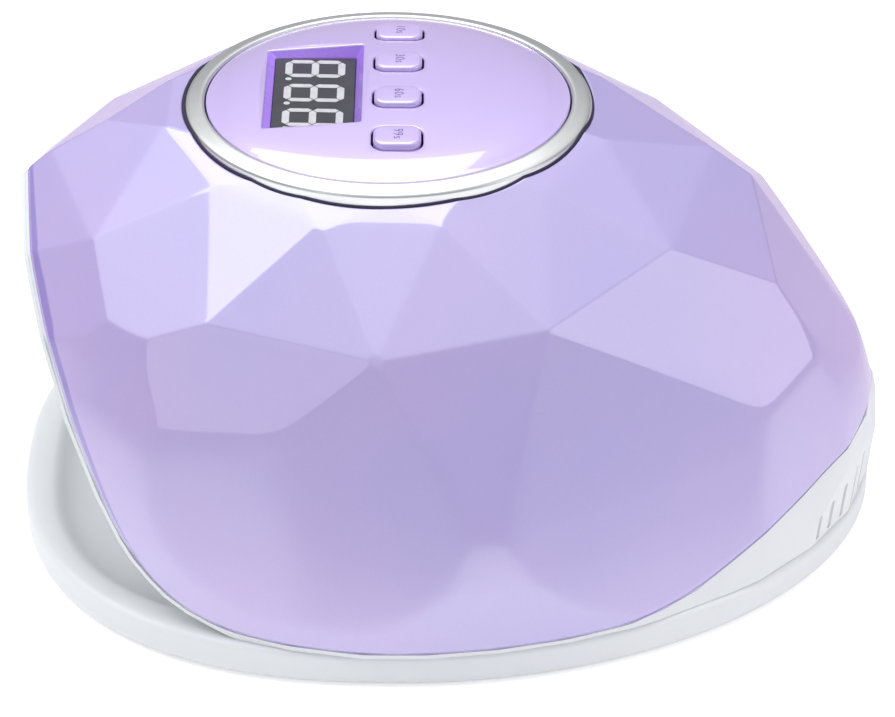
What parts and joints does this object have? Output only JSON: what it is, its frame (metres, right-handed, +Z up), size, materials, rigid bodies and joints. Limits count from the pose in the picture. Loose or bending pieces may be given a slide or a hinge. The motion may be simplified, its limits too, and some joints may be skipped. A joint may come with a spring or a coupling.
{
  "type": "nail curing lamp",
  "caption": "Dome-shaped nail curing lamp with a faceted pearl shell, round control panel with display and timer buttons, hand opening at the front, on a lift-off base tray.",
  "frame": {"origin": "centre of the plane the rubber feet rest on, under the base tray, on the lamp's mirror plane", "axes": "+Z up, -Y towards the user and the hand opening, +X to the user's right"},
  "size_m": [0.1856, 0.2075, 0.1111],
  "materials": {
    "shell_pearl": "pearlescent lavender lacquer",
    "panel_pearl": "pearlescent lavender lacquer, smooth",
    "button_pearl": "pearlescent lavender lacquer",
    "ring_chrome": "bright plated",
    "white_abs": "glossy white moulding",
    "tray_white": "glossy white moulding",
    "foot_rubber": "soft grey rubber",
    "magnet_plate": "nickel plated",
    "display_black": "matt dark face",
    "display_segment": "milky diffuser, unlit",
    "board_green": "solder mask",
    "board_white": "white solder mask on aluminium",
    "chip_black": "moulded package",
    "switch_black": "moulded body",
    "bead_lens": "clear lens over yellow emitter",
    "ir_dark": "dark infrared lens",
    "screw_steel": "zinc plated",
    "jack_black": "moulded socket",
    "wire_red": "insulated wire",
    "wire_white": "insulated wire"
  },
  "bodies": {
    "tray": {"base_tray": "tray_white", "tray_feet": "foot_rubber", "tray_magnets": "magnet_plate"},
    "lamp_head": {"top_shell": "shell_pearl", "trim_ring": "ring_chrome", "control_panel": "panel_pearl", "switch_bodies": "switch_black", "control_board": "board_green", "board_chips": "chip_black", "display_module": "display_black", "display_segments": "display_segment", "inner_housing": "white_abs", "light_board_top": "board_white", "light_board_left": "board_white", "light_board_right": "board_white", "light_board_rear": "board_white", "light_beads_top": "bead_lens", "light_beads_left": "bead_lens", "light_beads_right": "bead_lens", "light_beads_rear": "bead_lens", "light_board_screws": "screw_steel", "ir_emitter": "ir_dark", "ir_receiver": "ir_dark", "shell_screws": "screw_steel", "panel_screws": "screw_steel", "control_board_screws": "screw_steel", "power_inlet": "jack_black", "power_wires": "wire_red", "light_wires": "wire_white", "head_magnets": "magnet_plate"},
    "press_10s": {"button_10s": "button_pearl", "switch_stem_10s": "switch_black"},
    "press_30s": {"button_30s": "button_pearl", "switch_stem_30s": "switch_black"},
    "press_60s": {"button_60s": "button_pearl", "switch_stem_60s": "switch_black"},
    "press_99s": {"button_99s": "button_pearl", "switch_stem_99s": "switch_black"}
  },
  "joints": [
    {"name": "head_lift", "type": "slide", "parent": "tray", "child": "lamp_head", "axis": [0, 0, 1], "range_m": [0, 0.08]},
    {"name": "press_10s", "type": "slide", "parent": "lamp_head", "child": "press_10s", "axis": [0, 0, -1], "range_m": [0, 0.0004], "stiffness_N_per_m": 300},
    {"name": "press_30s", "type": "slide", "parent": "lamp_head", "child": "press_30s", "axis": [0, 0, -1], "range_m": [0, 0.0004], "stiffness_N_per_m": 300},
    {"name": "press_60s", "type": "slide", "parent": "lamp_head", "child": "press_60s", "axis": [0, 0, -1], "range_m": [0, 0.0004], "stiffness_N_per_m": 300},
    {"name": "press_99s", "type": "slide", "parent": "lamp_head", "child": "press_99s", "axis": [0, 0, -1], "range_m": [0, 0.0004], "stiffness_N_per_m": 300}
  ]
}
